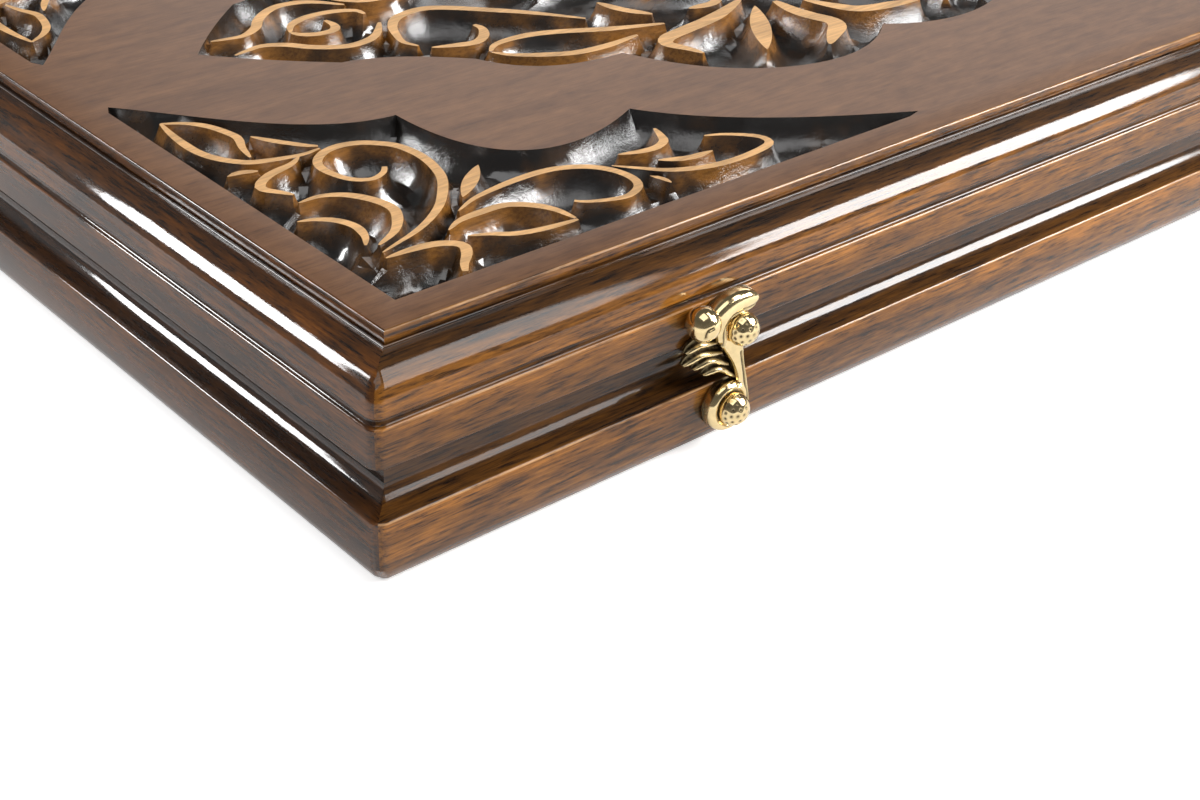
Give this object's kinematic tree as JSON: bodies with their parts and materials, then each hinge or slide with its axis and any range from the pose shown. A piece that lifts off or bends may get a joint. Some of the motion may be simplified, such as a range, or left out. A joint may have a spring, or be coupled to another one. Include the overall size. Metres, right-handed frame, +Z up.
{
  "type": "folding backgammon board",
  "caption": "Folding wooden backgammon case with a carved lid, moulded rims, brass hook latches, butt hinges, inlaid playing field, checkers and dice.",
  "frame": {"origin": "centre of the footprint of the closed case, latch heads and hinge barrels included, on the surface it rests on", "axes": "+X along the length, parallel to the hinges; -Y is the latch side and +Y the hinge side; +Z up through the carved lid"},
  "size_m": [0.6, 0.3108, 0.05],
  "materials": {
    "gloss_walnut": "high-gloss lacquered dark walnut mouldings",
    "satin_walnut": "satin walnut, grain along the length",
    "field_veneer": "satin walnut veneer",
    "dark_wood": "satin dark stained wood",
    "light_wood": "satin pale maple",
    "brass": "polished",
    "ivory_plastic": "glossy ivory with dark pips"
  },
  "bodies": {
    "base": {"base_front_rail": "gloss_walnut", "base_back_rail": "gloss_walnut", "base_left_rail": "gloss_walnut", "base_right_rail": "gloss_walnut", "base_bottom_board": "satin_walnut", "base_field_board": "field_veneer", "base_dark_points": "dark_wood", "base_light_points": "light_wood", "left_hinge_base_leaf": "brass", "right_hinge_base_leaf": "brass", "left_hinge_pin": "brass", "right_hinge_pin": "brass", "hinge_base_screws": "brass", "left_hook_screw": "brass", "right_hook_screw": "brass", "dark_checkers": "dark_wood", "light_checkers": "light_wood", "dice": "ivory_plastic"},
    "lid": {"lid_front_rail": "gloss_walnut", "lid_back_rail": "gloss_walnut", "lid_left_rail": "gloss_walnut", "lid_right_rail": "gloss_walnut", "lid_carved_board": "satin_walnut", "lid_field_board": "field_veneer", "lid_dark_points": "dark_wood", "lid_light_points": "light_wood", "left_hinge_lid_leaf": "brass", "right_hinge_lid_leaf": "brass", "hinge_lid_screws": "brass", "catch_pins": "brass"},
    "left_hook": {"left_hook": "brass"},
    "right_hook": {"right_hook": "brass"}
  },
  "joints": [
    {"name": "lid_hinge", "type": "hinge", "parent": "base", "child": "lid", "pos_m": [0, 0.15302, 0.025], "axis": [-1, 0, 0], "range_deg": [0, 180]},
    {"name": "left_hook_pivot", "type": "hinge", "parent": "base", "child": "left_hook", "pos_m": [-0.2107, -0.14893, 0.0099], "axis": [0, -1, 0], "range_deg": [0, 70]},
    {"name": "right_hook_pivot", "type": "hinge", "parent": "base", "child": "right_hook", "pos_m": [0.2107, -0.14893, 0.0099], "axis": [0, -1, 0], "range_deg": [0, 70]}
  ]
}
